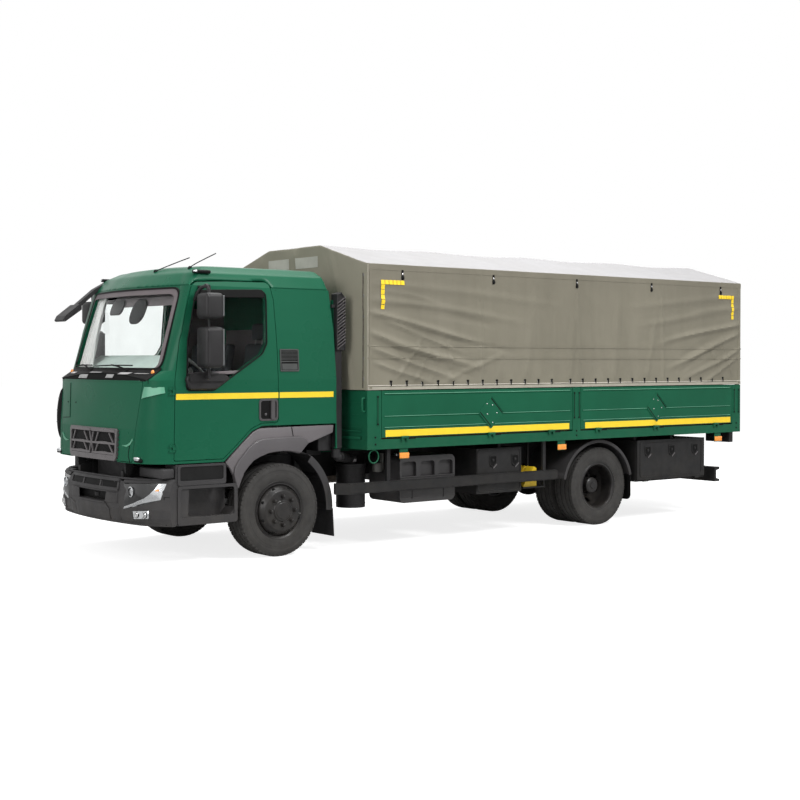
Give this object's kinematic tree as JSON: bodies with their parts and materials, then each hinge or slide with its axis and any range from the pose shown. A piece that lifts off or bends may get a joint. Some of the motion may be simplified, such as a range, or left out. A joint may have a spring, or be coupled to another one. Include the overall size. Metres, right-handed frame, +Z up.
{
  "type": "cargo truck with dropside body and tarpaulin",
  "caption": "Cab-over cargo truck with a tilting cab, steered front wheels, twin rear wheels, and a dropside load body under a laced tarpaulin.",
  "frame": {"origin": "on the ground under the middle of the truck's overall length and width", "axes": "+Z up, +Y towards the rear of the truck, +X towards its left side"},
  "size_m": [2.604, 8.2168, 3.069],
  "materials": {
    "cab_paint": "satin dark green paint",
    "body_paint": "satin dark green paint on steel boards",
    "chassis_black": "black chassis paint",
    "wheel_black": "black wheel enamel",
    "tyre": "dark grey rubber",
    "tarp": "grey-olive coated fabric",
    "bow_steel": "galvanised tube",
    "deck_wood": "coated plywood",
    "black_plastic": "black moulded plastic",
    "bumper_grey": "grained dark grey moulding",
    "arch_grey": "satin grey moulding",
    "engine_grey": "painted casting",
    "exhaust_steel": "heat-dulled steel",
    "lamp_clear": "clear lamp lens",
    "window_glass": "clear tinted glass",
    "seat_fabric": "dark woven cover",
    "trim_grey": "dark interior moulding",
    "chock_yellow": "yellow plastic"
  },
  "bodies": {
    "chassis": {"frame": "chassis_black", "front_axle": "chassis_black", "rear_axle": "chassis_black", "leaf_springs": "chassis_black", "engine": "engine_grey", "driveline": "engine_grey", "radiator": "black_plastic", "exhaust": "exhaust_steel", "front_bumper": "bumper_grey", "lamps": "lamp_clear", "cab_steps": "bumper_grey", "front_mudguards": "arch_grey", "fuel_tank": "black_plastic", "air_filter": "black_plastic", "guards": "chassis_black", "battery_box": "black_plastic", "toolbox_mid": "chassis_black", "toolbox_rear": "chassis_black", "rear_mudguards": "black_plastic", "wheel_chocks": "chock_yellow", "bed_frame": "body_paint", "bed_deck": "deck_wood", "tarp_bows": "bow_steel", "tarpaulin": "tarp"},
    "cab": {"cab_floor": "cab_paint", "cab_front": "cab_paint", "cab_back": "cab_paint", "cab_roof": "cab_paint", "windscreen": "window_glass", "dashboard": "trim_grey", "seats": "seat_fabric", "air_intake": "black_plastic", "kerb_mirror": "black_plastic"},
    "flap": {"front_flap": "cab_paint"},
    "door_left": {"door_left": "cab_paint", "door_glass_left": "window_glass", "mirrors_left": "black_plastic"},
    "door_right": {"door_right": "cab_paint", "door_glass_right": "window_glass", "mirrors_right": "black_plastic"},
    "dropside_front_left": {"dropside_front_left": "body_paint"},
    "dropside_rear_left": {"dropside_rear_left": "body_paint"},
    "dropside_front_right": {"dropside_front_right": "body_paint"},
    "dropside_rear_right": {"dropside_rear_right": "body_paint"},
    "tailboard": {"tailboard": "body_paint"},
    "toolbox_lid": {"toolbox_lid": "chassis_black"},
    "knuckle_left": {"knuckle_left": "chassis_black"},
    "knuckle_right": {"knuckle_right": "chassis_black"},
    "tie_rod": {"tie_rod": "chassis_black"},
    "wheel_front_left": {"tyre_front_left": "tyre", "wheel_front_left": "wheel_black"},
    "wheel_front_right": {"tyre_front_right": "tyre", "wheel_front_right": "wheel_black"},
    "wheels_rear_left": {"tyres_rear_left": "tyre", "wheels_rear_left": "wheel_black"},
    "wheels_rear_right": {"tyres_rear_right": "tyre", "wheels_rear_right": "wheel_black"}
  },
  "joints": [
    {"name": "cab_tilt", "type": "hinge", "parent": "chassis", "child": "cab", "pos_m": [0, -3.9725, 0.83], "axis": [1, 0, 0], "range_deg": [0, 50]},
    {"name": "flap_lift", "type": "hinge", "parent": "cab", "child": "flap", "pos_m": [0, -3.9825, 1.712], "axis": [-1, 0, 0], "range_deg": [0, 75]},
    {"name": "door_left_swing", "type": "hinge", "parent": "cab", "child": "door_left", "pos_m": [1.05, -3.8025, 1.34], "axis": [0, 0, -1], "range_deg": [0, 70]},
    {"name": "door_right_swing", "type": "hinge", "parent": "cab", "child": "door_right", "pos_m": [-1.05, -3.8025, 1.34], "axis": [0, 0, 1], "range_deg": [0, 70]},
    {"name": "dropside_rear_right_drop", "type": "hinge", "parent": "chassis", "child": "dropside_rear_right", "pos_m": [-1.289, 2.5775, 1.112], "axis": [0, -1, 0], "range_deg": [0, 170]},
    {"name": "dropside_rear_left_drop", "type": "hinge", "parent": "chassis", "child": "dropside_rear_left", "pos_m": [1.289, 2.5775, 1.112], "axis": [0, 1, 0], "range_deg": [0, 170]},
    {"name": "dropside_front_right_drop", "type": "hinge", "parent": "chassis", "child": "dropside_front_right", "pos_m": [-1.289, -0.2525, 1.112], "axis": [0, -1, 0], "range_deg": [0, 170]},
    {"name": "dropside_front_left_drop", "type": "hinge", "parent": "chassis", "child": "dropside_front_left", "pos_m": [1.289, -0.2525, 1.112], "axis": [0, 1, 0], "range_deg": [0, 170]},
    {"name": "tailboard_drop", "type": "hinge", "parent": "chassis", "child": "tailboard", "pos_m": [0, 4.0955, 1.112], "axis": [-1, 0, 0], "range_deg": [0, 170]},
    {"name": "toolbox_lid_drop", "type": "hinge", "parent": "chassis", "child": "toolbox_lid", "pos_m": [1.217, 2.8575, 0.471], "axis": [0, 1, 0], "range_deg": [0, 90]},
    {"name": "steer_left", "type": "hinge", "parent": "chassis", "child": "knuckle_left", "pos_m": [0.905, -2.6525, 0.447], "axis": [0, 0, 1], "range_deg": [-36, 36]},
    {"name": "steer_right", "type": "hinge", "parent": "chassis", "child": "knuckle_right", "pos_m": [-0.905, -2.6525, 0.447], "axis": [0, 0, 1], "range_deg": [-36, 36]},
    {"name": "tie_rod_turn", "type": "hinge", "parent": "knuckle_left", "child": "tie_rod", "pos_m": [0.905, -2.5275, 0.38], "axis": [0, 0, 1], "range_deg": [-36, 36]},
    {"name": "spin_front_left", "type": "hinge", "parent": "knuckle_left", "child": "wheel_front_left", "pos_m": [0.9235, -2.6525, 0.447], "axis": [1, 0, 0], "continuous": true},
    {"name": "spin_front_right", "type": "hinge", "parent": "knuckle_right", "child": "wheel_front_right", "pos_m": [-0.9235, -2.6525, 0.447], "axis": [1, 0, 0], "continuous": true},
    {"name": "spin_rear_left", "type": "hinge", "parent": "chassis", "child": "wheels_rear_left", "pos_m": [0.855, 1.6675, 0.447], "axis": [1, 0, 0], "continuous": true},
    {"name": "spin_rear_right", "type": "hinge", "parent": "chassis", "child": "wheels_rear_right", "pos_m": [-0.855, 1.6675, 0.447], "axis": [1, 0, 0], "continuous": true}
  ],
  "couplings": [
    {"joint": "steer_right", "follows": "steer_left", "ratio": 1},
    {"joint": "tie_rod_turn", "follows": "steer_left", "ratio": -1}
  ]
}
